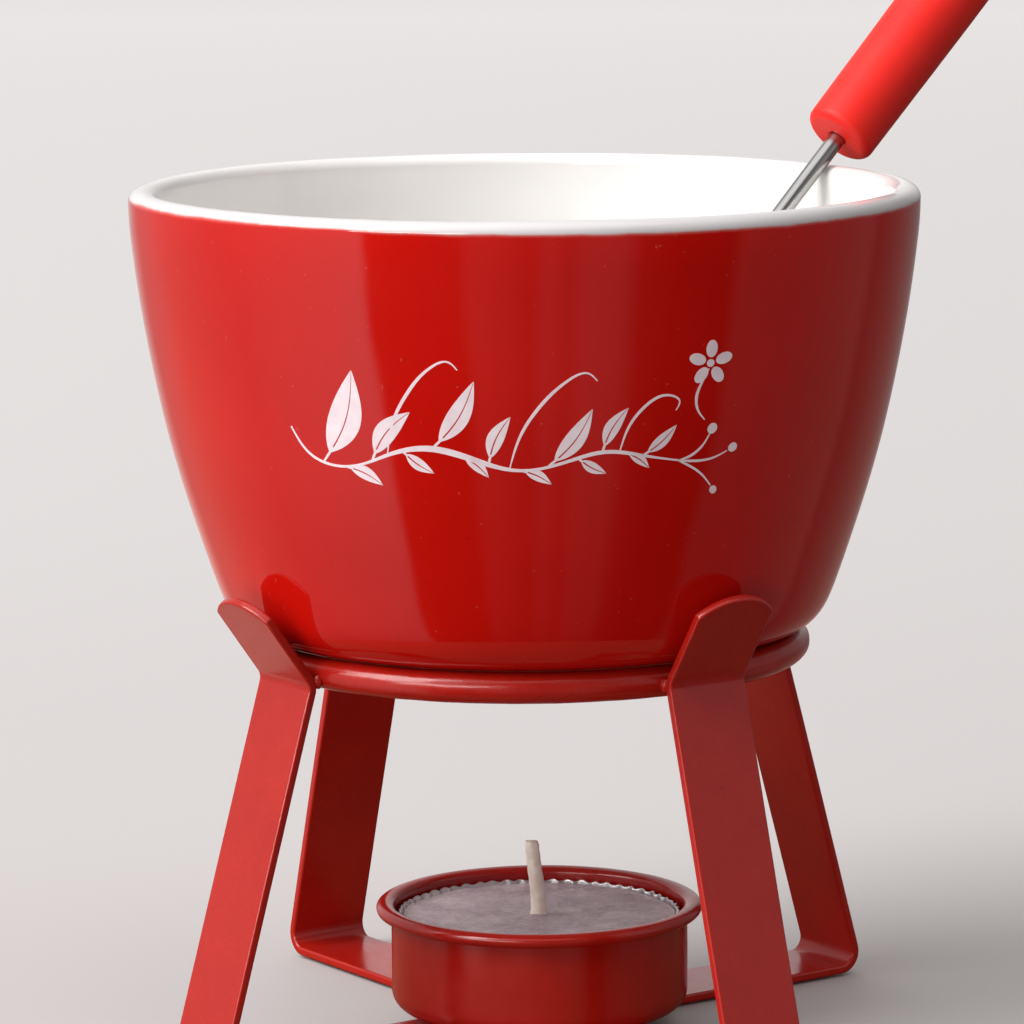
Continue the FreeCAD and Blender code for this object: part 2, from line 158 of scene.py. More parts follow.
# ---------------------------------------------------------------------------
# procedural materials
# ---------------------------------------------------------------------------
class Mat:
    def __init__(self, name):
        self.m = bpy.data.materials.new(name)
        self.m.use_nodes = True
        self.nt = self.m.node_tree
        self.b = self.nt.nodes["Principled BSDF"]
        self.tc = self.nt.nodes.new("ShaderNodeTexCoord")
        self.coord = self.tc.outputs["Object"]

    def node(self, kind, **kw):
        n = self.nt.nodes.new(kind)
        for k, v in kw.items():
            setattr(n, k, v)
        return n

    def link(self, a, b):
        self.nt.links.new(a, b)

    def set(self, **kw):
        for k, v in kw.items():
            self.b.inputs[k.replace("_", " ")].default_value = v

    def noise(self, scale, detail=3.0, rough=0.5, vec=None, distortion=0.0):
        n = self.node("ShaderNodeTexNoise")
        n.inputs["Scale"].default_value = scale
        n.inputs["Detail"].default_value = detail
        n.inputs["Roughness"].default_value = rough
        n.inputs["Distortion"].default_value = distortion
        self.link(vec or self.coord, n.inputs["Vector"])
        return n.outputs["Fac"]

    def ramp(self, fac, stops, interp="LINEAR"):
        r = self.node("ShaderNodeValToRGB")
        r.color_ramp.interpolation = interp
        els = r.color_ramp.elements
        while len(els) < len(stops):
            els.new(0.5)
        for e, (p, c) in zip(els, stops):
            e.position = p
            e.color = c if len(c) == 4 else tuple(c) + (1.0,)
        self.link(fac, r.inputs["Fac"])
        return r.outputs["Color"]

    def math(self, op, a, b=None, clamp=False):
        n = self.node("ShaderNodeMath", operation=op, use_clamp=clamp)
        for i, v in enumerate((a, b)):
            if v is None:
                continue
            if isinstance(v, (int, float)):
                n.inputs[i].default_value = v
            else:
                self.link(v, n.inputs[i])
        return n.outputs[0]

    def mix(self, fac, a, b):
        n = self.node("ShaderNodeMix", data_type="RGBA")
        for i, v in ((0, fac), (6, a), (7, b)):
            if isinstance(v, (int, float)):
                n.inputs[i].default_value = v
            elif isinstance(v, tuple):
                n.inputs[i].default_value = v
            else:
                self.link(v, n.inputs[i])
        return n.outputs[2]

    def remap(self, v, a, b, c, d):
        n = self.node("ShaderNodeMapRange")
        self.link(v, n.inputs["Value"])
        for k, x in zip(("From Min", "From Max", "To Min", "To Max"), (a, b, c, d)):
            n.inputs[k].default_value = x
        return n.outputs["Result"]

    def bump(self, height, strength, distance, normal=None):
        n = self.node("ShaderNodeBump")
        n.inputs["Strength"].default_value = strength
        n.inputs["Distance"].default_value = distance
        self.link(height, n.inputs["Height"])
        if normal is not None:
            self.link(normal, n.inputs["Normal"])
        return n.outputs["Normal"]

    def xyz(self):
        s = self.node("ShaderNodeSeparateXYZ")
        self.link(self.coord, s.inputs[0])
        return s.outputs

    def color(self, c):
        self.link(c, self.b.inputs["Base Color"])

    def rough(self, c):
        self.link(c, self.b.inputs["Roughness"])

    def normal(self, c):
        self.link(c, self.b.inputs["Normal"])


def glaze_red():
    k = Mat("glaze_red")
    sep = k.xyz()
    z = sep["Z"]
    blotch = k.noise(45, 3, 0.55)
    red = k.mix(k.remap(blotch, 0.3, 0.7, 0, 1), (0.52, 0.0050, 0.0022, 1), (0.58, 0.0066, 0.0032, 1))
    speck = k.noise(1500, 2, 0.5)
    red = k.mix(k.remap(speck, 0.73, 0.79, 0, 0.6), red, (0.22, 0.003, 0.002, 1))
    pale = k.noise(1250, 1, 0.4)
    red = k.mix(k.remap(pale, 0.775, 0.80, 0, 0.30), red, (0.68, 0.12, 0.10, 1))
    # the red stops below the lip with a slightly uneven, thinning edge
    edge = k.math("ADD", z, k.math("MULTIPLY", k.math("SUBTRACT", k.noise(85, 4, 0.6), 0.5), 0.00075))
    # the dip was not quite level: the red stops lower towards the right
    edge = k.math("ADD", edge, k.remap(sep["X"], -0.030, -0.002, 0, 0.00060))
    t = k.remap(edge, 0.11288, 0.11338, 0, 1)
    two = k.ramp(t, [(0.0, (0, 0, 0)), (0.30, (0.10, 0.10, 0.10)), (0.62, (0.78, 0.78, 0.78)), (1.0, (1, 1, 1))])
    pink = k.mix(k.remap(edge, 0.1127, 0.1131, 0, 1), red, (0.62, 0.11, 0.095, 1))
    # painted shade: the lip's white is painted darker at the front and lighter at the back; the glaze itself is one
    # white
    lip_painted_shade = k.mix(k.remap(sep["Y"], -0.020, 0.020, 0, 1), (0.635, 0.612, 0.616, 1), (0.80, 0.785, 0.775, 1))
    k.color(k.mix(two, pink, lip_painted_shade))
    k.rough(k.remap(k.noise(130, 3), 0.3, 0.7, 0.035, 0.085))
    w = k.bump(k.noise(38, 3, 0.45), 0.55, 0.00018)
    w = k.bump(k.noise(260, 2, 0.5), 0.12, 0.00003, w)
    k.normal(w)
    k.set(IOR=1.52)
    k.b.inputs["Coat Weight"].default_value = 0.0
    return k.m


def glaze_white():
    k = Mat("glaze_white")
    c = k.mix(k.remap(k.noise(60, 3), 0.3, 0.7, 0, 1), (0.83, 0.82, 0.80, 1), (0.86, 0.85, 0.84, 1))
    sp = k.noise(350, 2, 0.5)
    c = k.mix(k.remap(sp, 0.77, 0.80, 0, 0.35), c, (0.45, 0.40, 0.36, 1))
    sep = k.xyz()
    # painted shade: the lip's white is painted darker at the front and lighter at the back; the glaze itself is one
    # white
    lip_painted_shade = k.mix(k.remap(sep["Y"], -0.020, 0.020, 0, 1), (0.635, 0.612, 0.616, 1), (0.80, 0.785, 0.775, 1))
    c = k.mix(k.remap(sep["Z"], 0.1116, 0.1132, 0, 1), c, lip_painted_shade)
    k.color(c)
    k.rough(k.remap(k.noise(130, 3), 0.3, 0.7, 0.07, 0.13))
    k.normal(k.bump(k.noise(45, 2, 0.4), 0.3, 0.00015))
    k.set(IOR=1.5)
    return k.m


def bare_ceramic():
    k = Mat("bare_ceramic")
    k.color(k.mix(k.remap(k.noise(900, 4, 0.7), 0.35, 0.65, 0, 1), (0.66, 0.62, 0.55, 1), (0.78, 0.75, 0.69, 1)))
    k.set(Roughness=0.75)
    k.normal(k.bump(k.noise(2600, 3, 0.6), 0.3, 0.00006))
    return k.m


def glaze_print():
    k = Mat("glaze_print")
    k.color(k.mix(k.remap(k.noise(500, 3), 0.35, 0.65, 0, 1), srgb(243, 222, 229), srgb(250, 234, 239)))
    k.rough(k.remap(k.noise(130, 3), 0.3, 0.7, 0.05, 0.10))
    w = k.bump(k.noise(38, 2, 0.4), 0.35, 0.00016)
    k.normal(k.bump(k.noise(260, 2, 0.5), 0.12, 0.00003, w))
    k.set(IOR=1.52)
    return k.m


def powder_coat():
    k = Mat("powder_coat_red")
    base = k.mix(k.remap(k.noise(160, 4, 0.6), 0.3, 0.7, 0, 1), (0.395, 0.0085, 0.0040, 1), (0.445, 0.012, 0.0055, 1))
    fine = k.noise(2200, 3, 0.7)
    base = k.mix(k.remap(fine, 0.35, 0.65, 0, 0.35), base, (0.27, 0.0055, 0.0035, 1))
    pin = k.noise(900, 2, 0.5)
    base = k.mix(k.remap(pin, 0.76, 0.80, 0, 0.5), base, (0.12, 0.006, 0.005, 1))
    k.color(base)
    k.rough(k.remap(k.noise(420, 3), 0.3, 0.7, 0.17, 0.26))
    n = k.bump(k.noise(1300, 3, 0.55), 0.26, 0.00005)
    n = k.bump(k.noise(170, 2, 0.5), 0.25, 0.00008, n)
    k.normal(n)
    k.set(IOR=1.5)
    return k.m


def cup_paint():
    k = Mat("cup_paint_red")
    base = k.mix(k.remap(k.noise(150, 4, 0.6), 0.3, 0.7, 0, 1), (0.30, 0.0062, 0.003, 1), (0.35, 0.0085, 0.0042, 1))
    base = k.mix(k.remap(k.noise(1700, 2, 0.6), 0.6, 0.8, 0, 0.3), base, (0.25, 0.01, 0.008, 1))
    k.color(base)
    k.rough(k.remap(k.noise(300, 3), 0.3, 0.7, 0.16, 0.26))
    n = k.bump(k.noise(1100, 3, 0.5), 0.16, 0.00003)
    n = k.bump(k.noise(120, 2, 0.5), 0.25, 0.00010, n)
    k.normal(n)
    k.set(IOR=1.5)
    return k.m


def aluminium():
    k = Mat("tealight_aluminium")
    k.color(k.mix(k.remap(k.noise(700, 3, 0.6), 0.3, 0.7, 0, 1), (0.60, 0.59, 0.60, 1), (0.72, 0.71, 0.72, 1)))
    k.set(Metallic=1.0)
    k.rough(k.remap(k.noise(900, 3, 0.6), 0.3, 0.7, 0.26, 0.44))
    n = k.bump(k.noise(1800, 3, 0.6), 0.3, 0.00006)
    k.normal(n)
    return k.m


def wax_mat():
    k = Mat("candle_wax")
    c = k.ramp(k.noise(190, 5, 0.65), [(0.28, srgb(148, 128, 138)), (0.5, srgb(170, 152, 160)), (0.72, srgb(196, 180, 184))])
    c = k.mix(k.remap(k.noise(1500, 3, 0.6), 0.45, 0.75, 0, 0.35), c, srgb(222, 212, 214))
    k.color(c)
    k.rough(k.remap(k.noise(600, 4, 0.6), 0.3, 0.7, 0.34, 0.62))
    n = k.bump(k.noise(420, 4, 0.6), 0.55, 0.00022)
    n = k.bump(k.noise(2100, 3, 0.6), 0.4, 0.00008, n)
    k.normal(n)
    k.b.inputs["Subsurface Weight"].default_value = 0.25
    k.b.inputs["Subsurface Radius"].default_value = (0.0030, 0.0022, 0.0020)
    k.b.inputs["Subsurface Scale"].default_value = 0.6
    k.set(IOR=1.44)
    return k.m


def wick_mat():
    k = Mat("wick_cotton")
    c = k.mix(k.remap(k.noise(900, 4, 0.6), 0.3, 0.7, 0, 1), srgb(236, 221, 206), srgb(249, 238, 226))
    c = k.mix(k.remap(k.noise(260, 2, 0.5), 0.5, 0.7, 0, 0.5), c, srgb(214, 196, 184))
    k.color(c)
    k.set(Roughness=0.55)
    k.normal(k.bump(k.noise(5200, 3, 0.6), 0.5, 0.00006))
    k.b.inputs["Subsurface Weight"].default_value = 0.15
    k.b.inputs["Subsurface Radius"].default_value = (0.001, 0.0008, 0.0006)
    return k.m


def steel_sheet():
    k = Mat("stamped_steel")
    k.color(k.mix(k.remap(k.noise(900, 3), 0.3, 0.7, 0, 1), (0.50, 0.50, 0.51, 1), (0.62, 0.62, 0.63, 1)))
    k.set(Metallic=1.0)
    k.rough(k.remap(k.noise(1500, 3), 0.3, 0.7, 0.28, 0.42))
    k.normal(k.bump(k.noise(2400, 2), 0.2, 0.00004))
    return k.m


def fork_steel(rot):
    k = Mat("fork_steel")
    mp = k.node("ShaderNodeMapping")
    mp.inputs["Rotation"].default_value = rot
    k.link(k.coord, mp.inputs["Vector"])
    st = k.node("ShaderNodeMapping")
    st.inputs["Scale"].default_value = (1, 1, 0.04)
    k.link(mp.outputs[0], st.inputs["Vector"])
    streak = k.noise(4200, 3, 0.6, vec=st.outputs[0])
    k.color(k.mix(k.remap(streak, 0.3, 0.7, 0, 1), (0.36, 0.355, 0.35, 1), (0.46, 0.455, 0.45, 1)))
    k.set(Metallic=1.0)
    k.rough(k.remap(streak, 0.3, 0.7, 0.16, 0.26))
    k.normal(k.bump(streak, 0.15, 0.00002))
    return k.m


def handle_plastic():
    k = Mat("handle_plastic_red")
    c = k.mix(k.remap(k.noise(90, 3, 0.5), 0.3, 0.7, 0, 1), (0.82, 0.015, 0.009, 1), (0.89, 0.021, 0.013, 1))
    c = k.mix(k.remap(k.noise(1200, 2, 0.5), 0.70, 0.80, 0, 0.25), c, (0.60, 0.012, 0.010, 1))
    k.color(c)
    k.rough(k.remap(k.noise(260, 3, 0.6), 0.3, 0.7, 0.42, 0.54))
    n = k.bump(k.noise(1900, 2, 0.5), 0.14, 0.00003)
    n = k.bump(k.noise(110, 2, 0.5), 0.2, 0.00010, n)
    k.normal(n)
    k.b.inputs["Subsurface Weight"].default_value = 0.08
    k.b.inputs["Subsurface Radius"].default_value = (0.002, 0.0004, 0.0003)
    k.b.inputs["Specular IOR Level"].default_value = 0.32
    k.set(IOR=1.47)
    return k.m


M_RED, M_WHITE, M_BARE = glaze_red(), glaze_white(), bare_ceramic()
M_PRINT, M_COAT, M_CUP = glaze_print(), powder_coat(), cup_paint()
M_ALU, M_WAX, M_WICK = aluminium(), wax_mat(), wick_mat()
M_TAB, M_HANDLE = steel_sheet(), handle_plastic()

# ---------------------------------------------------------------------------
# bowl
# ---------------------------------------------------------------------------
OUTER = [(52.6, 112.55), (52.57, 111.3), (52.5, 109.7), (52.22, 106.7), (51.15, 98.6), (49.75, 90.6),
         (48.02, 82.5), (45.85, 74.4), (43.25, 66.2), (41.3, 60.6), (40.05, 57.9), (38.4, 56.05),
         (36.2, 55.0), (33.2, 54.5)]
INNER = [(48.9, 112.55), (48.87, 111.3), (48.77, 109.6), (48.45, 106.7), (47.35, 98.6), (45.95, 90.6),
         (44.2, 82.5), (42.0, 74.4), (39.8, 68.0), (37.2, 63.7), (33.6, 60.75), (29.0, 59.28),
         (25.2, 58.9), (23.0, 58.85)]
outer = spline(OUTER, 90)
inner = spline(INNER, 80)
outer_dense = spline(OUTER, 800)


def outer_r(z):
    return float(np.interp(z, outer_dense[::-1, 1], outer_dense[::-1, 0]))


foot = (arc_pts((33.2, 53.75), 0.75, 90, 172, 7) + seg((32.45, 53.8), (32.0, 52.8), 3)
        + arc_pts((31.35, 52.85), 0.65, -5, -90, 7) + seg((31.2, 52.2), (29.7, 52.2), 3)
        + arc_pts((29.55, 52.85), 0.65, -90, -175, 7) + seg((28.9, 52.9), (28.45, 53.5), 3)
        + arc_pts((27.9, 53.2), 0.5, 20, 90, 6) + seg((27.8, 53.7), (0, 53.7), 12))
lip = [(x, z if z < 112.6 else 112.55 + (z - 112.55) * 0.84) for x, z in arc_pts((50.75, 112.55), 1.85, 180, 0, 26)]
part_a = join_profile(list(reversed(foot)))
part_b = join_profile(outer[::-1])
part_c = join_profile(list(reversed(lip)))
part_d = join_profile(inner, seg((23.0, 58.85), (0, 58.85), 10))
profile = join_profile(part_a, part_b, part_c, part_d)
ia = len(part_a)
ib = ia + len(part_b) - 1
ic = ib + len(part_c) // 2


def bowl_mod(r, z, a, i):
    if r < 1 or z < 58:
        return r, z
    k = min(1.0, (z - 58) / 25)
    d = 0.10 * k * fbm((2.1 * math.cos(a), 2.1 * math.sin(a), z / 60))
    lipk = max(0.0, (z - 104) / 10)
    dz = 0.10 * lipk * fbm((1.6 * math.cos(a) + 9, 1.6 * math.sin(a), 3))
    return r + d, min(z + dz, 114.45)


def bowl_mat(i):
    if i < ia - 8:
        return 2 if (profile[i][0] > 28.4 and profile[i][1] < 52.7) else 1
    if i < ic:
        return 0
    return 1


bowl = lathe("bowl_glazed", profile, [M_RED, M_WHITE, M_BARE], 320, mod=bowl_mod, mat_of=bowl_mat)
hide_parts("bowl")
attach(bowl, "bowl")

# ---------------------------------------------------------------------------
# printed sprig on the bowl's front: strokes laid on the unrolled surface, in mm
# ---------------------------------------------------------------------------
UNROLL_R = 47.5
PRINT_Z = 82.0


def on_bowl(u, w, h):
    z = PRINT_Z + w
    r = outer_r(z) + h
    a = u / UNROLL_R
    # the wall's small unevenness, so the print follows it
    r += 0.10 * min(1.0, (z - 58) / 25) * fbm((2.1 * math.cos(a), 2.1 * math.sin(a), z / 60))
    return (r * math.sin(a) * MM, -r * math.cos(a) * MM, z * MM)


print_v, print_f = [], []


def close_strip(rows):
    m = len(rows[0])
    for a, b in zip(rows, rows[1:]):
        for j in range(m):
            print_f.append((a[j], a[(j + 1) % m], b[(j + 1) % m], b[j]))
    print_f.append(tuple(rows[0]))
    print_f.append(tuple(reversed(rows[-1])))


def ribbon(points, half, n=48, h0=0.022):
    """A closed strip of print; half(t) is its half width in mm along it."""
    c = spline(points, n)
    d = np.gradient(c, axis=0)
    d /= np.maximum(np.linalg.norm(d, axis=1)[:, None], 1e-9)
    p = np.stack([-d[:, 1], d[:, 0]], 1)
    rows = []
    for i in range(n):
        hw = max(half(i / (n - 1)), 0.035)
        row = []
        for f, h in ((-1, h0), (-0.34, h0), (0.34, h0), (1, h0), (1, -0.1), (-1, -0.1)):
            q = c[i] + p[i] * hw * f
            row.append(len(print_v))
            print_v.append(on_bowl(q[0], q[1], h))
        rows.append(row)
    close_strip(rows)


def swell(a, b, peak=0.5, sharp=1.0):
    def f(t):
        x = t / peak if t < peak else (1 - t) / (1 - peak)
        return a + (b - a) * math.sin(x * math.pi / 2) ** sharp
    return f


def leaf(u, w, ang, length, width, bend=0.12):
    """A leaf in two halves with a fine vein left open between them, on a short stalk."""
    ca, sa = math.cos(math.radians(ang)), math.sin(math.radians(ang))

    def at(x, y):
        y = y + bend * length * math.sin(math.pi * min(1, x / length)) * 0.5
        return (u + x * ca - y * sa, w + x * sa + y * ca)

    def wide(t):
        return width * 0.5 * math.sin(math.pi * t ** 0.82) ** 0.92
    stalk = length * 0.13
    ribbon([at(0, 0), at(stalk * 0.5, 0), at(stalk, 0), at(stalk * 1.5, 0)], swell(0.10, 0.16), 12)
    for sgn, k in ((1, 1.0), (-1, 0.86)):
        n = 40
        rows = []
        for i in range(n):
            t = 0.004 + 0.992 * i / (n - 1)
            x = stalk + (length - stalk) * t
            vein = 0.085 * (1 - t) ** 0.5 + 0.012
            edge = max(wide(t) * k, vein + 0.03)
            row = []
            for y, h in ((vein, 0.022), ((vein + edge) / 2, 0.022), (edge, 0.022), (edge, -0.1), (vein, -0.1)):
                q = at(x, sgn * y)
                row.append(len(print_v))
                print_v.append(on_bowl(q[0], q[1], h))
            rows.append(row)
        close_strip(rows)


def dot(u, w, r, squash=1.0, turn=0.0):
    ring, rows = 26, []
    ct, st = math.cos(turn), math.sin(turn)
    for f, h in ((1.0, -0.1), (1.0, 0.022), (0.55, 0.022), (0.1, 0.022)):
        row = []
        for k in range(ring):
            a = TAU * k / ring
            x, y = r * f * math.cos(a), r * squash * f * math.sin(a)
            row.append(len(print_v))
            print_v.append(on_bowl(u + x * ct - y * st, w + x * st + y * ct, h))
        rows.append(row)
    close_strip(rows)


# the stem: a long wave with a swelling line
STEM = [(-30.8, 5.2), (-28.6, 1.9), (-25.0, 0.5), (-21.0, 0.9), (-16.5, 2.6), (-11.8, 3.3), (-6.5, 2.0), (-1.0, 0.6), (4.5, 1.5),
        (9.8, 2.8), (14.8, 2.1), (19.6, 1.2)]
stem_line = spline(STEM, 400)


def stem_w(u):
    return float(np.interp(u, stem_line[:, 0], stem_line[:, 1]))


ribbon(STEM, lambda t: 0.12 + 0.30 * math.sin(math.pi * min(1.0, t * 1.02)) * (0.62 + 0.38 * math.cos(4.6 * math.pi * t)), 170)
for u, ang, ln, wd, bn in ((-26.6, 66, 13.4, 4.7, -0.20), (-19.6, 50, 8.6, 2.9, 0.16), (-11.6, 58, 10.4, 2.9, -0.16), (-4.6, 66, 6.8, 2.2, 0.14),
                           (2.6, 54, 9.2, 2.6, -0.16), (9.4, 62, 6.4, 2.0, 0.14), (14.6, 42, 5.6, 1.7, -0.12),
                           (-23.4, -24, 5.4, 1.9, 0.14), (-15.4, -36, 4.8, 1.7, -0.12), (-8.0, -40, 4.4, 1.6, 0.12), (-0.6, -26, 4.2, 1.5, 0.12),
                           (6.4, -30, 4.2, 1.5, -0.12), (12.4, -34, 3.8, 1.35, 0.12)):
    leaf(u, stem_w(u), ang, ln, wd, bn)
# fine tendrils that end in a soft hook
ribbon([(-17.4, 2.3), (-16.4, 6.4), (-14.2, 10.4), (-11.4, 13.6), (-9.0, 14.5), (-8.0, 13.5)], swell(0.07, 0.21), 60)
ribbon([(-2.0, 0.9), (-0.6, 5.2), (1.8, 9.0), (4.8, 12.0), (7.4, 13.0), (8.5, 12.0)], swell(0.07, 0.21), 60)
ribbon([(11.6, 2.8), (12.6, 6.0), (14.8, 8.8), (17.4, 9.8), (18.9, 8.9), (18.5, 7.8)], swell(0.07, 0.19), 50)
# the stem's end forks into three berries
ribbon([(19.4, 1.2), (21.0, 1.7), (22.6, 3.0), (23.4, 4.4)], swell(0.08, 0.17, 0.3), 24)
ribbon([(19.4, 1.2), (21.8, 1.0), (24.2, 1.2), (26.2, 2.0)], swell(0.08, 0.17, 0.3), 24)
ribbon([(19.4, 1.2), (21.4, 0.2), (23.2, -1.1), (24.4, -2.4)], swell(0.08, 0.15, 0.3), 24)
dot(23.7, 5.1, 0.72, 0.9, 1.1)
dot(27.0, 2.4, 0.66, 0.9, 0.4)
dot(24.9, -3.0, 0.56, 0.9, -0.9)
# a small blossom above the right end, with a leafed stalk
for k in range(5):
    a = TAU * k / 5 + 0.3
    dot(22.6 + 1.85 * math.cos(a), 13.6 + 1.85 * math.sin(a), 1.12, 0.66, a)
dot(22.6, 13.6, 0.5)
ribbon([(22.45, 12.9), (21.7, 11.3), (21.1, 9.4), (21.4, 7.7), (22.5, 6.3)], swell(0.07, 0.18), 40)
sprig = new_object("bowl_printed_sprig", print_v, print_f, [M_PRINT])
bm = bmesh.new()
bm.from_mesh(sprig.data)
for e in bm.edges:
    if e.calc_face_angle(0) > 0.6:
        e.smooth = False
bm.to_mesh(sprig.data)
bm.free()
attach(sprig, "bowl")

# ---------------------------------------------------------------------------
# stand: ring, two strips, weld beads
# ---------------------------------------------------------------------------
RING_R, WIRE_R, RING_Z = 36.0, 2.05, 52.75
ring_profile = arc_pts((RING_R, RING_Z), WIRE_R, 0, 360 - 360 / 40, 40)


def ring_mod(r, z, a, i):
    d = 0.035 * fbm((9 * math.cos(a), 9 * math.sin(a), 0.4 * math.cos(i)))
    # the wire's butt weld, ground smooth, near the back left leg
    joint = math.exp(-((a - math.radians(205)) / 0.022) ** 2) * 0.10
    dr, dz = r - RING_R, z - RING_Z
    s = 1 + (d + joint) / WIRE_R
    return RING_R + dr * s, RING_Z + dz * min(s, 1.012)


ring = lathe("support_ring_wire", ring_profile, [M_COAT], 320, closed=True, mod=ring_mod)
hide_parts("support_ring")
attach(ring, "stand")

STRIP_W, STRIP_T = 12.0, 1.2
TAB_L, TAB_R = 14.1, 8.2


def strip_path(joggled, foot_r, bend_r, bend_z, flare):
    h = STRIP_T / 2
    leg = math.atan2(foot_r - bend_r, bend_z)
    bend = (bend_r - h / math.cos(leg), bend_z)
    tab = (bend[0] + TAB_L * math.sin(flare), bend[1] + TAB_L * math.cos(flare))
    foot_c = (foot_r - h / math.cos(leg) - h * math.tan(leg), h)
    half = [tab, bend, foot_c]
    rad = [0, 2.2, 3.0 - h]
    if joggled:
        half += [(10.6, h), (7.8, h + STRIP_T)]
        rad += [1.4, 1.4]
    pts = half + [(-x, z) for x, z in reversed(half)]
    rad = rad + rad[::-1]
    # pieces: (length, kind, data)
    segs, cur = [], np.array(pts[0])
    for i in range(1, len(pts) - 1):
        p0, p1, p2 = map(np.array, (pts[i - 1], pts[i], pts[i + 1]))
        d0 = (p1 - p0) / np.linalg.norm(p1 - p0)
        d1 = (p2 - p1) / np.linalg.norm(p2 - p1)
        turn = math.atan2(d0[0] * d1[1] - d0[1] * d1[0], d0 @ d1)
        t = rad[i] * math.tan(abs(turn) / 2)
        a = p1 - d0 * t
        segs.append(("line", cur, a, np.linalg.norm(a - cur)))
        s = 1 if turn > 0 else -1
        n0 = np.array([-d0[1], d0[0]])
        c = a + n0 * rad[i] * s
        segs.append(("arc", c, a, abs(turn) * rad[i], turn, rad[i]))
        cur = p1 + d1 * t
    segs.append(("line", cur, np.array(pts[-1]), np.linalg.norm(np.array(pts[-1]) - cur)))
    return segs


def path_at(segs, s):
    for g in segs:
        if s <= g[3] or g is segs[-1]:
            if g[0] == "line":
                d = (g[2] - g[1]) / np.linalg.norm(g[2] - g[1])
                return g[1] + d * s, np.array([-d[1], d[0]])
            f = s / g[3]
            ang = g[4] * f
            v = g[2] - g[1]
            v = np.array([v[0] * math.cos(ang) - v[1] * math.sin(ang), v[0] * math.sin(ang) + v[1] * math.cos(ang)])
            sgn = 1 if g[4] > 0 else -1
            return g[1] + v, -v / np.linalg.norm(v) * sgn
        s -= g[3]


def make_strip(name, joggled, foot_r, bend_r, bend_z, flare, az, side, seed):
    segs = strip_path(joggled, foot_r, bend_r, bend_z, math.radians(flare))
    L = sum(g[3] for g in segs)
    body, s = [], 0.0
    for g in segs:
        n = max(3, int(g[3] / 2.2)) if g[0] == "line" else 12
        body += [s + g[3] * k / n for k in range(n)]
        s += g[3]
    body.append(L)
    K = 22
    edge = 0.34
    levels = []
    for k in range(9):
        q = -1 + 2 * k / 8
        ang = math.asin(max(-1, min(1, q)))
        levels.append(None)
    lv = []
    for k in range(5):
        a = math.pi / 2 * k / 4
        lv.append((STRIP_T / 2 - edge + edge * math.sin(a), edge * (1 - math.cos(a))))
    levels = [(-n, d) for n, d in reversed(lv)] + lv
    verts, faces = [], []
    a0 = math.radians(az)
    er = np.array([math.sin(a0), -math.cos(a0), 0.0])
    ev = np.array([math.cos(a0), math.sin(a0), 0.0])

    def put(s, v, n):
        s = min(max(s, 0.0), L)
        p, nn = path_at(segs, s)
        wob = 0.05 * fbm((s * 0.03 + seed, v * 0.02, 1.0))
        q = p + nn * (n + wob * (1 if 16 < s < L - 16 and p[1] > 3 else 0))
        w = er * q[0] + np.array([0, 0, q[1]]) + ev * (v + side)
        verts.append(w * MM)
        return len(verts) - 1

    def stations(d):
        R, hw = TAB_R - d, STRIP_W / 2 - d
        c0, c1 = TAB_R, L - TAB_R
        tm = math.asin(hw / R)
        st = []
        for k in range(K):
            th = tm * k / (K - 1)
            st.append((c0 - R * math.cos(th), R * math.sin(th)))
        s_side = c0 - R * math.cos(tm)
        lo, hi = s_side, L - s_side
        inner_st = [x for x in body if lo + 0.25 < x < hi - 0.25]
        st += [(x, hw) for x in inner_st]
        for k in range(K - 1, -1, -1):
            th = tm * k / (K - 1)
            st.append((c1 + R * math.cos(th), R * math.sin(th)))
        return st
    counts = None
    lo0 = TAB_R - (TAB_R) * math.cos(math.asin(6 / TAB_R)) + 0.6
    body = [x for x in body if lo0 < x < L - lo0]
    cols = [-1, -0.5, 0, 0.5, 1]
    loops = []
    for n, d in levels:
        st = stations(d)
        if counts is None:
            counts = len(st)
        plus, minus = [], []
        for i, (s, hw) in enumerate(st):
            if i in (0, len(st) - 1):
                p = put(s, 0, n)
                plus.append(p)
                minus.append(p)
            else:
                plus.append(put(s, hw, n))
                minus.append(put(s, -hw, n))
        loops.append((plus, minus, st))
    for (p0, m0, _), (p1, m1, _) in zip(loops, loops[1:]):
        for i in range(counts - 1):
            faces.append((p0[i], p0[i + 1], p1[i + 1], p1[i]))
            faces.append((m0[i + 1], m0[i], m1[i], m1[i + 1]))
    for li in (0, len(loops) - 1):
        plus, minus, st = loops[li]
        n = levels[li][0]
        grid = []
        for i, (s, hw) in enumerate(st):
            if i in (0, len(st) - 1):
                grid.append([plus[i]] * len(cols))
            else:
                grid.append([minus[i]] + [put(s, hw * c, n) for c in cols[1:-1]] + [plus[i]])
        for i in range(counts - 1):
            for j in range(len(cols) - 1):
                f = [grid[i][j], grid[i + 1][j], grid[i + 1][j + 1], grid[i][j + 1]]
                f = [x for q, x in enumerate(f) if x not in f[:q]]
                if len(f) >= 3:
                    faces.append(tuple(f))
    o = new_object(name, verts, faces, [M_COAT])
    wn = o.modifiers.new("weighted", "WEIGHTED_NORMAL")
    wn.keep_sharp = True
    wn.weight = 90
    return o


for node, nm, jog, fr, br, bz, flare, az, sd, seed in (
        ("leg_strip_lower", "leg_strip_lower_formed", False, 53.6, 39.35, 52.9, 33.5, 35.0, 0.75, 0.0),
        ("leg_strip_upper", "leg_strip_upper_formed", True, 54.4, 39.05, 51.6, 36.5, -54.0, 0.0, 7.0)):
    o = make_strip(nm, jog, fr, br, bz, flare, az, sd, seed)
    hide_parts(node)
    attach(o, "stand")

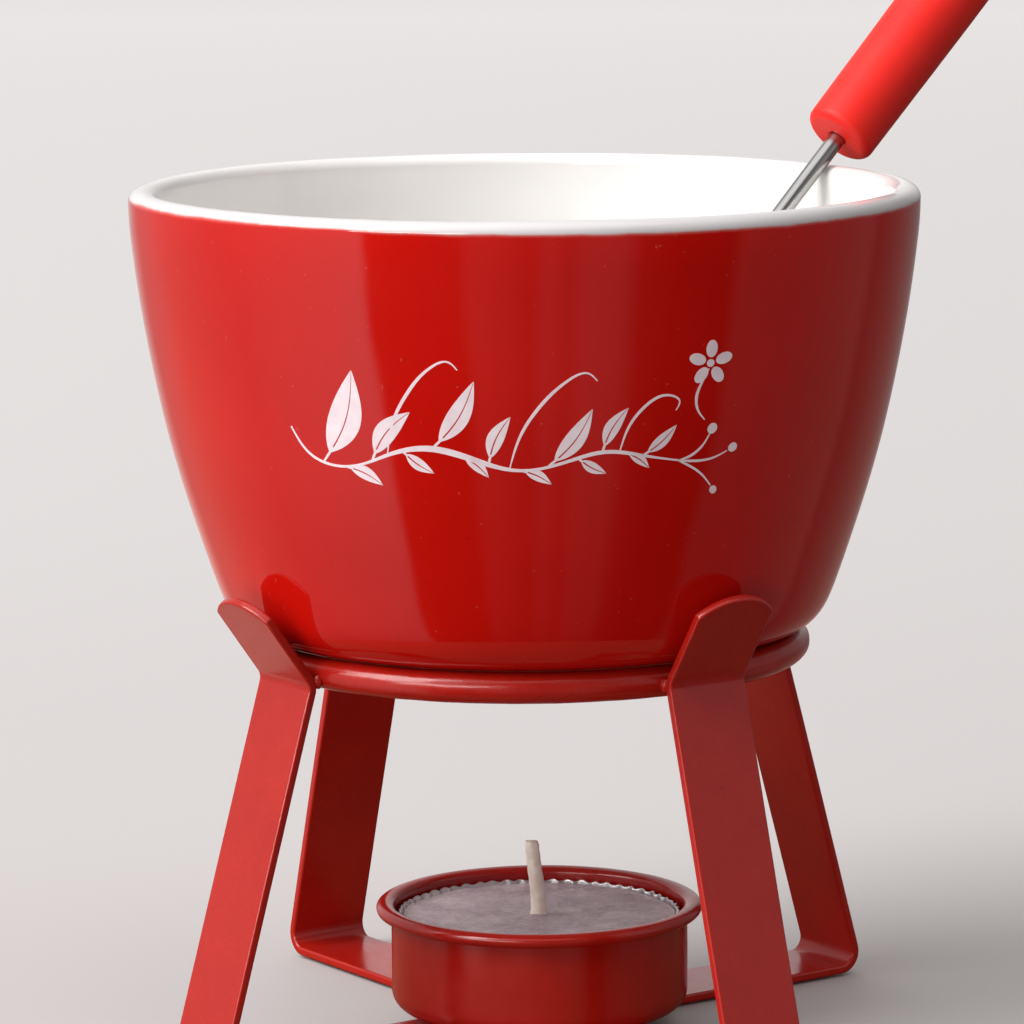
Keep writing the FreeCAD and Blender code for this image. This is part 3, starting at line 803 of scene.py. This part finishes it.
# weld beads: small lumps in the corner between the wire and each edge of a leg
wv, wf = [], []
idx = 0
for az, sd, drop in ((35.0, 0.75, 0.2), (-54.0, 0.0, 0.75)):
    a = math.radians(az)
    er = np.array([math.sin(a), -math.cos(a), 0])
    ev = np.array([math.cos(a), math.sin(a), 0])
    for end in (1, -1):
        for sgn in (1, -1):
            y = sd + sgn * (STRIP_W / 2 - 0.35)
            x = end * (math.sqrt((RING_R + WIRE_R * 0.93) ** 2 - y ** 2) + 0.15)
            c = er * x + ev * y + np.array([0, 0, RING_Z - drop])
            bm = bmesh.new()
            bmesh.ops.create_icosphere(bm, subdivisions=4, radius=1.0)
            base = len(wv)
            for v in bm.verts:
                p = np.array(v.co)
                lump = 1 + 0.12 * fbm((p[0] * 1.3 + idx * 3.1, p[1] * 1.3, p[2] * 1.3)) + 0.02 * math.sin(7 * p[2] + idx)
                q = c + (er * p[0] * 0.74 + ev * p[1] * 0.60 + np.array([0, 0, 1]) * p[2] * 0.92) * lump
                wv.append(q * MM)
            for f in bm.faces:
                wf.append(tuple(base + v.index for v in f.verts))
            bm.free()
            idx += 1
beads = new_object("ring_weld_beads", wv, wf, [M_COAT])
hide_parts("ring_welds")
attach(beads, "stand")

# ---------------------------------------------------------------------------
# candle cup and tealight
# ---------------------------------------------------------------------------
lo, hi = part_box("candle_cup")
CX, CY = (lo.x + hi.x) / 2 / MM, (lo.y + hi.y) / 2 / MM
wi, wo, cr, ct, cz, zb = 19.6, 20.1, 1.05, 0.5, 16.15, 2.4
cc = wi + cr
cup_profile = join_profile(
    seg((0, zb), (wo - 2.6, zb), 10), arc_pts((wo - 2.6, zb + 2.6), 2.6, -90, 0, 12),
    seg((wo, zb + 2.6), (wo, cz), 14), arc_pts((cc, cz), cr - ct, 180, -128, 30),
    arc_pts((cc, cz), cr, -128, 180, 44), seg((wi, cz), (wi, zb + 2.6), 14),
    arc_pts((wi - 2.1, zb + 2.6), 2.1, 0, -90, 12), seg((wi - 2.1, zb + 0.5), (0, zb + 0.5), 8))


def cup_mod(r, z, a, i):
    if r < 15:
        return r, z
    if z > cz - cr and (r > wo or z > cz):
        # the curl is pressed a little flat: wider than it is tall
        k = min(1.0, max(0.0, (r - wi) / (2 * cr)))
        r, z = r + 0.42 * k, cz + (z - cz) * (0.86 if z > cz else 1.0 - 0.10 * k)
    d = 0.06 * fbm((1.8 * math.cos(a), 1.8 * math.sin(a), z / 14)) * min(1, max(0, (z - 4) / 6))
    return r + d, z


cup = lathe("candle_cup_drawn", cup_profile, [M_CUP], 224, mod=cup_mod, at=(CX, CY))
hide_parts("candle_cup")
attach(cup, "stand")

# tealight shell: drawn foil, fluted wall with a crimped, uneven top edge
z0, TR, TF, TT, TTOP = 2.9, 18.9, 18.2, 0.22, 15.5
prof_out = join_profile(seg((0, z0), (TF - 0.9, z0), 8), arc_pts((TF - 0.9, z0 + 0.9), 0.9, -90, 0, 7),
                        seg((TF, z0 + 0.9), (TR - 0.1, TTOP - 0.7), 12))
prof_rim = arc_pts((TR - 0.02, TTOP - 0.22), 0.2, -20, 200, 10)
prof_in = join_profile(seg((TR - 0.1 - TT, TTOP - 0.7), (TF - TT, z0 + 0.9), 12),
                       arc_pts((TF - 0.9, z0 + 0.9), 0.9 - TT, 0, -90, 6), seg((TF - 0.9, z0 + TT), (0, z0 + TT), 6))
shell_profile = join_profile(prof_out, prof_rim, prof_in)
FL = 58


def shell_mod(r, z, a, i):
    k = min(1.0, max(0.0, (z - z0 - 1.2) / 9.0))
    ph = 0.9 * fbm((3 * math.cos(a), 3 * math.sin(a), 0.3))
    f = math.sin(FL * a + ph * 2)
    amp = (0.07 + 0.10 * k) * k
    rr = r + amp * f * (0.75 + 0.5 * fbm((5 * math.cos(a), 5 * math.sin(a), 2)))
    zz = z
    if z > TTOP - 0.8:
        zz += 0.11 * math.sin(FL * a + ph * 2 + 1.2) + 0.10 * fbm((14 * math.cos(a), 14 * math.sin(a), 5))
    return min(rr, 19.3), min(zz, 15.75)


shell = lathe("tealight_shell_fluted", shell_profile, [M_ALU], 58 * 10, mod=lambda r, z, a, i: shell_mod(r, z, a, i) if r > 10 else (r, z),
              at=(CX, CY))
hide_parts("tealight_shell")
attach(shell, "tealight")

# wax: frosted, uneven top that climbs a little at the wick and the wall
WT = 14.75
wax_r = TR - 0.1 - TT - 0.12
radii = [0, 0.6, 0.95, 1.2, 1.5, 1.9, 2.4, 3.0] + list(np.linspace(3.8, wax_r - 0.7, 30)) + [wax_r - 0.4, wax_r - 0.15, wax_r]
top = [(r, WT) for r in radii]
wax_profile = join_profile(top, [(wax_r - 0.05, WT - 0.5)], seg((wax_r - 0.12, 12.0), (TF - TT - 0.1, z0 + 1.2), 5),
                           [(TF - TT - 0.5, z0 + TT + 0.15), (TF - TT - 1.5, z0 + TT + 0.05), (7, z0 + TT + 0.05), (0, z0 + TT + 0.4)])


def wax_mod(r, z, a, i):
    if i >= len(top):
        return r, z
    x, y = r * math.cos(a), r * math.sin(a)
    h = 0.16 * fbm((x * 0.22, y * 0.22, 1.5), 4) + 0.055 * fbm((x * 1.3, y * 1.3, 7), 3)
    h += 0.42 * math.exp(-max(0, r - 0.95) / 0.7) if r > 0.3 else 0.35
    h += 0.30 * math.exp(-(wax_r - r) / 0.5)
    h -= 0.12 * math.exp(-((r - 6.5) / 3.2) ** 2)
    return r, min(WT + h, 15.45)


wax = lathe("tealight_wax_poured", wax_profile, [M_WAX], 200, mod=wax_mod, at=(CX, CY))
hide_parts("tealight_wax")
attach(wax, "tealight")

# wick: flat cotton braid stiffened with wax, a herringbone relief on a tube
wick_line = spline([(0, 0, 3.5), (0.0, 0.0, 9.0), (0.02, 0.0, 14.2), (-0.10, 0.02, 17.0), (-0.42, 0.03, 20.0), (-0.78, 0.04, 23.0),
                    (-0.98, 0.04, 25.05)], 230)
wvx, wfc, RN = [], [], 56
total = len(wick_line)
for i, c in enumerate(wick_line):
    t = i / (total - 1)
    z = c[2]
    ax = 1.04 - 0.10 * max(0, (z - 15) / 10)
    by = 0.86
    coat = math.exp(-max(0, z - 14.9) / 0.9) * 0.22
    for k in range(RN):
        a = TAU * k / RN
        s1 = abs(math.sin(1.5 * a + z * 2.1))
        s2 = abs(math.sin(1.5 * a - z * 2.1))
        rel = 0.075 * max(s1, s2) - 0.05 + 0.03 * fbm((2 * math.cos(a), 2 * math.sin(a), z * 1.4))
        if z > 24.6:
            rel -= (z - 24.6) * 0.25 + 0.08 * abs(fbm((3 * math.cos(a), 3 * math.sin(a), z * 4)))
        f = 1 + rel + coat
        fray = 0.12 * fbm((4 * math.cos(a), 4 * math.sin(a), 3)) if i == total - 1 else 0
        wvx.append(((CX + c[0] + ax * f * math.cos(a)) * MM, (CY + c[1] + by * f * math.sin(a)) * MM, (z + fray) * MM))
for i in range(total - 1):
    for k in range(RN):
        k2 = (k + 1) % RN
        wfc.append((i * RN + k, i * RN + k2, (i + 1) * RN + k2, (i + 1) * RN + k))
c0, c1 = len(wvx), len(wvx) + 1
e = wick_line[-1]
wvx.append((CX * MM, CY * MM, 3.5 * MM))
wvx.append(((CX + e[0]) * MM, (CY + e[1]) * MM, (e[2] + 0.1) * MM))
for k in range(RN):
    k2 = (k + 1) % RN
    wfc.append((c0, k2, k))
    wfc.append((c1, (total - 1) * RN + k, (total - 1) * RN + k2))
wick = new_object("wick_braided", wvx, wfc, [M_WICK])
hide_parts("wick")
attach(wick, "tealight")

tab = frame["nodes"]["wick_tab"]
tab.data.materials.clear()
tab.data.materials.append(M_TAB)

# ---------------------------------------------------------------------------
# fork, built along its own axis and laid over the lip
# ---------------------------------------------------------------------------
fork_joint = [j for j in frame["joints"] if j["child"] == "fork"][0]
d = Vector(fork_joint["axis"]).normalized()
LIP_AZ = math.radians(32.6)
rh = Vector((math.cos(LIP_AZ), math.sin(LIP_AZ), 0))
nrm = (rh * (-d.z) + Vector((0, 0, 1)) * d.dot(rh)).normalized()
ROD_R = 1.2
contact = rh * 50.75 + Vector((0, 0, 112.55)) + nrm * (1.85 + ROD_R + 0.10)
side = nrm.cross(d).normalized()
if side.cross(nrm).dot(d) < 0:
    side = -side
FORK = Matrix(((side.x, nrm.x, d.x, contact.x), (side.y, nrm.y, d.y, contact.y), (side.z, nrm.z, d.z, contact.z), (0, 0, 0, 1)))
M_STEEL = fork_steel(FORK.to_3x3().inverted().to_euler())


def to_fork(o):
    o.data.transform(Matrix.Scale(1 / MM, 4))
    o.data.transform(FORK)
    o.data.transform(Matrix.Scale(MM, 4))
    o.data.update()


def tube_z(name, prof, mats, n=96, mod=None):
    return lathe(name, prof, mats, n, mod=mod)


TIP, HEAD_L, HEAD_W, HEAD_T, PRONG_L, PRONG_W, PRONG_TIP = -79.2, 21.0, 7.6, 1.1, 13.0, 1.9, 3.2
NECK = TIP + HEAD_L
H0, HL = 4.2, 80.0
# rod, tapering into the flattened neck
rod = tube_z("fork_rod", join_profile([(0, NECK - 3.4)], [(0.42, NECK - 3.4), (0.62, NECK - 3.0), (0.95, NECK - 1.0), (ROD_R, NECK + 1.6)],
                                      seg((ROD_R, NECK + 1.6), (ROD_R, H0 + 31.9), 40), [(0, H0 + 31.9)]), [M_STEEL], 64)
w2 = HEAD_W / 2
slot_w = (HEAD_W - 3 * PRONG_W) / 2
outline = []


def half_outline():
    pts = [(0.0, NECK + 1.5)]
    pts += [(0.85, NECK + 1.2), (1.05, NECK - 0.4), (1.25, NECK - 1.6)]
    pts += [tuple(p) for p in spline([(1.5, NECK - 2.4), (2.5, NECK - 4.3), (3.45, NECK - 5.8), (w2, NECK - 7.4)], 10)]
    pts += [(w2, TIP + PRONG_TIP + 1.0), (w2 - 0.12, TIP + PRONG_TIP - 0.6), (w2 - PRONG_W * 0.42, TIP + 0.35),
            (w2 - PRONG_W * 0.56, TIP + 0.25), (w2 - PRONG_W + 0.1, TIP + PRONG_TIP - 0.4), (w2 - PRONG_W, TIP + PRONG_TIP + 0.8)]
    x1, x0 = w2 - PRONG_W, w2 - PRONG_W - slot_w
    yc = TIP - 1 + PRONG_L
    pts += [(x1, yc)] + [((x0 + x1) / 2 + slot_w / 2 * math.cos(t), yc + slot_w / 2 * math.sin(t)) for t in np.linspace(0.3, math.pi - 0.3, 7)]
    pts += [(x0, yc), (x0, TIP + PRONG_TIP + 0.8), (x0 - 0.12, TIP + PRONG_TIP - 0.6), (0.22, TIP + 0.2), (0.0, TIP + 0.12)]
    return pts


ho = half_outline()
outline = ho + [(-x, z) for x, z in reversed(ho[1:-1])]
bm = bmesh.new()
vs = [bm.verts.new((x * MM, -HEAD_T / 2 * MM, z * MM)) for x, z in outline]
f = bm.faces.new(vs)
res = bmesh.ops.extrude_face_region(bm, geom=[f])
bmesh.ops.translate(bm, vec=(0, HEAD_T * MM, 0), verts=[v for v in res["geom"] if isinstance(v, bmesh.types.BMVert)])
bmesh.ops.recalc_face_normals(bm, faces=bm.faces)
edges = [e for e in bm.edges if abs(e.calc_face_angle(0)) > 1.2 and abs(e.verts[0].co.y - e.verts[1].co.y) < 1e-7]
bmesh.ops.bevel(bm, geom=edges, offset=0.30 * MM, segments=3, affect="EDGES", profile=0.5, clamp_overlap=True)
me = bpy.data.meshes.new("fork_head")
bm.to_mesh(me)
bm.free()
head = bpy.data.objects.new("fork_head", me)
scene.collection.objects.link(head)
head.data.materials.append(M_STEEL)
bo = rod.modifiers.new("join", "BOOLEAN")
bo.operation, bo.object, bo.solver = "UNION", head, "EXACT"
dg = bpy.context.evaluated_depsgraph_get()
joined = bpy.data.meshes.new_from_object(rod.evaluated_get(dg))
rod.modifiers.clear()
old = rod.data
rod.data = joined
rod.name = "fork_shaft_forged"
rod.data.polygons.foreach_set("use_smooth", [True] * len(rod.data.polygons))
bpy.data.objects.remove(head)
to_fork(rod)
wn = rod.modifiers.new("weighted", "WEIGHTED_NORMAL")
wn.weight = 70
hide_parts("fork_shaft")
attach(rod, "fork")

# handle: tapered moulding, rounded ends, a small well round the rod and a parting line
hp = join_profile(
    [(ROD_R - 0.02, H0 + 6.0), (ROD_R - 0.02, H0 + 0.30), (ROD_R + 0.10, H0 + 0.10), (ROD_R + 0.28, H0 + 0.01), (ROD_R + 0.5, H0)],
    seg((ROD_R + 0.5, H0), (5.1 - 1.3, H0), 5), arc_pts((5.1 - 1.3, H0 + 1.3), 1.3, -90, 0, 12),
    seg((5.1, H0 + 1.3), (5.8, H0 + HL - 2.6), 44), arc_pts((5.8 - 2.6, H0 + HL - 2.6), 2.6, 0, 84, 12),
    [(1.6, H0 + HL - 0.005), (0, H0 + HL)])


def handle_mod(r, z, a, i):
    if r < 4.6 or z < H0 + 0.4 or z > H0 + HL - 0.8:
        return r, z
    # moulding seam on two opposite sides, and barely uneven walls
    seam = 0.045 * (math.exp(-((math.sin(a)) / 0.035) ** 2))
    return r + seam + 0.05 * fbm((1.2 * math.cos(a), 1.2 * math.sin(a), z / 18)), z


handle = lathe("fork_handle_moulded", hp, [M_HANDLE], 180, mod=handle_mod)
# close the well's inner end inside the plastic, out of sight round the rod
bm = bmesh.new()
bm.from_mesh(handle.data)
open_edges = [e for e in bm.edges if e.is_boundary]
if open_edges:
    bmesh.ops.holes_fill(bm, edges=open_edges, sides=0)
bmesh.ops.recalc_face_normals(bm, faces=bm.faces)
bm.to_mesh(handle.data)
bm.free()
to_fork(handle)
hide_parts("fork_handle")
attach(handle, "fork")

# ---------------------------------------------------------------------------
# floor, light, camera
# ---------------------------------------------------------------------------
fm = Mat("floor_pale")
# painted light and shade: the floor's colour is painted darker near the set and lighter far off, evening out the
# lamps' falloff
fm.color(fm.ramp(fm.remap(fm.xyz()["Y"], -0.2, 2.4, 0, 1), [(0.0, (0.485, 0.468, 0.466)), (0.166, (0.532, 0.514, 0.512)),
                                                            (0.252, (0.575, 0.559, 0.557)), (1.0, (0.868, 0.852, 0.848))]))
fm.set(Roughness=0.7)
fm.b.inputs["Specular IOR Level"].default_value = 0.1
floor = new_object("floor", [(-9, -9, -0.0004), (9, -9, -0.0004), (9, 9, -0.0004), (-9, 9, -0.0004)], [(0, 1, 2, 3)], [fm.m], smooth=False)
# the set is lit by the studio's own soft surround, so the floor only catches its shadow
floor.visible_glossy = False
floor.visible_diffuse = False
floor.visible_shadow = False
# a dark card under the set, out of the camera's sight, tones what the stand reflects
cm = Mat("card_brown")
cm.color(cm.mix(cm.remap(cm.noise(30, 3), 0.3, 0.7, 0, 1), (0.16, 0.075, 0.040, 1), (0.21, 0.100, 0.055, 1)))
cm.set(Roughness=0.8)
card = new_object("card_under", [(0, 0, -0.0012)] + [(0.082 * math.cos(TAU * k / 48), 0.082 * math.sin(TAU * k / 48), -0.0012) for k in range(48)],
                  [(0, k + 1, (k + 1) % 48 + 1) for k in range(48)], [cm.m], smooth=False)
card.visible_camera = False
card.visible_shadow = False


def area(name, az, el, dist, size, power, color=(1, 1, 1)):
    a, e = math.radians(az), math.radians(el)
    d = Vector((math.sin(a) * math.cos(e), -math.cos(a) * math.cos(e), math.sin(e)))
    l = bpy.data.lights.new(name, "AREA")
    l.shape = "RECTANGLE"
    l.size, l.size_y = size
    l.energy = power
    l.color = color
    o = bpy.data.objects.new(name, l)
    o.location = Vector((0, 0, 0.07)) + d * dist
    o.rotation_euler = (-d).to_track_quat("-Z", "Y").to_euler()
    scene.collection.objects.link(o)
    return o


def sun(name, direction, strength, angle, color=(1, 1, 1)):
    l = bpy.data.lights.new(name, "SUN")
    l.energy = strength
    l.angle = math.radians(angle)
    l.color = color
    o = bpy.data.objects.new(name, l)
    o.rotation_euler = Vector(direction).to_track_quat("-Z", "Y").to_euler()
    scene.collection.objects.link(o)
    return o


area("key_left", -66, 40, 2.4, (1.5, 1.5), 58.0, (1.0, 0.985, 0.97))
fill = area("fill_front", -26, -6, 2.2, (1.8, 1.4), 15.0, (1.0, 0.985, 0.97))
fill.visible_glossy = False
sun("top", (0.18, 0.12, -1.0), 0.9, 70)
right = area("fill_right", 62, 48, 2.4, (1.4, 1.4), 3.2, (1.0, 0.985, 0.97))
right.visible_glossy = False
# a long narrow lamp seen only as a streak in curved, glossy edges
streak = area("streak", -34, 15, 2.4, (1.5, 0.34), 17.0, (1.0, 0.985, 0.97))
streak.visible_diffuse = False

# soft surround: bright along the left, dim towards the front, with two faint panels right of it
world = bpy.data.worlds.new("studio")
scene.world = world
world.use_nodes = True
wt = world.node_tree
bg = wt.nodes["Background"]


def wmath(op, a, b=None, clamp=False):
    n = wt.nodes.new("ShaderNodeMath")
    n.operation, n.use_clamp = op, clamp
    for i, v in enumerate((a, b)):
        if v is None:
            continue
        if isinstance(v, (int, float)):
            n.inputs[i].default_value = v
        else:
            wt.links.new(v, n.inputs[i])
    return n.outputs[0]


def wramp(fac, stops):
    r = wt.nodes.new("ShaderNodeValToRGB")
    els = r.color_ramp.elements
    while len(els) < len(stops):
        els.new(0.5)
    for e, (p, v) in zip(els, stops):
        e.position = p
        e.color = (v, v, v, 1)
    wt.links.new(fac, r.inputs["Fac"])
    return r.outputs["Color"]


tc = wt.nodes.new("ShaderNodeTexCoord")
sx = wt.nodes.new("ShaderNodeSeparateXYZ")
wt.links.new(tc.outputs["Generated"], sx.inputs[0])
X, Y, Z = sx.outputs
turn = wmath("ADD", wmath("DIVIDE", wmath("ARCTAN2", X, wmath("MULTIPLY", Y, -1.0)), TAU), 0.5)


def around(pairs):
    return [((az + 180) / 360, v) for az, v in pairs]


low_az = wramp(turn, around([(-180, .40), (-168, .62), (-152, .32), (-138, .42), (-112, .46), (-95, .46), (-80, .66), (-66, .80),
                             (-52, .95), (-48.2, .95), (-45.5, .06), (-38, .02), (-19, .02), (-15, .19), (-8, .16), (1, .10),
                             (6, .23), (12, .13), (18, .25), (28, .24), (35, .05), (45, .01), (61, .015), (66, .15), (82, .14),
                             (101, .17), (119, .19), (124, .10), (136, .13), (150, .17), (164, .20), (180, .40)]))
low_el = wramp(wmath("MULTIPLY", Z, -1.0), [(0.0, 1.0), (0.42, 0.98), (0.57, 0.75), (0.70, 0.50), (0.82, 0.26), (0.93, 0.10), (1.0, 0.06)])
low = wmath("MULTIPLY", low_az, low_el)
board = wmath("MULTIPLY", wramp(turn, around([(-180, 0.2), (-165, 0.6), (-150, 1.0), (-126, 1.0), (-114, 0.0), (170, 0.0), (180, 0.2)])),
              wramp(wmath("MULTIPLY", Z, -1.0), [(0.0, 0.0), (0.44, 0.0), (0.54, 1.0), (0.80, 0.8), (0.92, 0.1)]))
low = wmath("ADD", low, wmath("MULTIPLY", board, 0.34))
high_az = wramp(turn, around([(-180, .78), (-140, .66), (-100, .62), (-60, .80), (-36, .90), (-24, .40), (-12, .14), (10, .12), (30, .18), (48, .40),
                              (88, .50), (108, .26), (150, .24), (166, .55), (180, .80)]))
high_el = wramp(Z, [(0.0, 1.0), (0.5, 1.0), (0.8, 0.95), (1.0, 0.90)])
lift = wramp(Z, [(0.0, 0.0), (0.55, 0.0), (0.95, 0.62), (1.0, 0.66)])
high = wmath("MAXIMUM", wmath("MULTIPLY", high_az, high_el), lift)
side = wmath("ADD", wmath("MULTIPLY", Z, 7.0), 0.5, clamp=True)
room = wmath("ADD", wmath("MULTIPLY", low, wmath("SUBTRACT", 1.0, side)), wmath("MULTIPLY", high, side))
seen = wt.nodes.new("ShaderNodeLightPath").outputs["Is Camera Ray"]
strength = wmath("ADD", wmath("MULTIPLY", room, wmath("SUBTRACT", 1.0, seen)), wmath("MULTIPLY", seen, 0.78))
# behind and below the set the surround is warmer
warm = wmath("MULTIPLY", wramp(turn, around([(-180, 1.0), (-122, 1.0), (-100, 0.0), (84, 0.0), (112, 1.0), (180, 1.0)])),
             wmath("MULTIPLY", wmath("SUBTRACT", wmath("MULTIPLY", Z, -1.0), 0.08), 5.0, clamp=True))
warm = wmath("MULTIPLY", warm, wmath("SUBTRACT", 1.0, seen))
tint = wt.nodes.new("ShaderNodeMix")
tint.data_type = "RGBA"
wt.links.new(warm, tint.inputs[0])
tint.inputs[6].default_value = (1.0, 0.972, 0.965, 1)
tint.inputs[7].default_value = (1.65, 0.93, 0.80, 1)
wt.links.new(tint.outputs[2], bg.inputs["Color"])
wt.links.new(strength, bg.inputs["Strength"])

cam = bpy.data.cameras.new("camera")
cam.sensor_width = 36
cam.lens = 5181.6 / 1024 * 36
cam.clip_start, cam.clip_end = 0.05, 60
co = bpy.data.objects.new("camera", cam)
co.matrix_world = (Matrix.Translation((0, -0.6882, 0.17535)) @ Matrix.Rotation(math.radians(0.16), 4, "Z")
                   @ Matrix.Rotation(math.radians(90 - 8.70), 4, "X") @ Matrix.Rotation(math.radians(-0.40), 4, "Z"))
scene.collection.objects.link(co)
scene.camera = co
